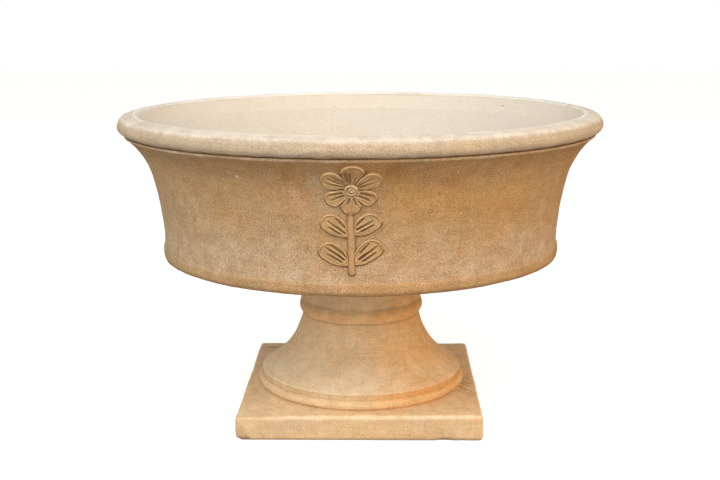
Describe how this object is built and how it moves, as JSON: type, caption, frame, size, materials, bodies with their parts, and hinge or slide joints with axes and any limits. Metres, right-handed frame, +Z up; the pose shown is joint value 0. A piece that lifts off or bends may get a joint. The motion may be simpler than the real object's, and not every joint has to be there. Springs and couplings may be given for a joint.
{
  "type": "urn planter",
  "caption": "Wide low clay bowl planter with a flared wall, rolled rim and flower sprig on its front, on a waisted round foot with a square plinth.",
  "frame": {"origin": "middle of the plinth's underside, on the ground", "axes": "+Z up along the urn's axis, the flower sprig faces -Y"},
  "size_m": [0.7999, 0.8, 0.51],
  "materials": {
    "base_clay": "matt, sandy and unglazed",
    "bowl_clay": "matt, sandy and unglazed",
    "rim_clay": "matt with a pale lime bloom",
    "sprig_clay": "matt, sandy and unglazed",
    "seat": "dull"
  },
  "bodies": {
    "foot": {"plinth": "base_clay", "foot": "base_clay"},
    "seat": {"seat_ring": "seat"},
    "bowl": {"bowl_floor": "bowl_clay", "bowl_wall": "bowl_clay", "rim": "rim_clay", "flower_button": "sprig_clay", "stem": "sprig_clay", "petal_bottom": "sprig_clay", "petal_lower_left": "sprig_clay", "petal_upper_left": "sprig_clay", "petal_top": "sprig_clay", "petal_upper_right": "sprig_clay", "petal_lower_right": "sprig_clay", "leaf_lower_left": "sprig_clay", "leaf_lower_right": "sprig_clay", "leaf_upper_left": "sprig_clay", "leaf_upper_right": "sprig_clay"}
  },
  "joints": [
    {"name": "bowl_turn", "type": "hinge", "parent": "foot", "child": "seat", "pos_m": [0, 0, 0.219], "axis": [0, 0, 1], "continuous": true},
    {"name": "bowl_lift", "type": "slide", "parent": "seat", "child": "bowl", "axis": [0, 0, 1], "range_m": [0, 0.25]}
  ]
}
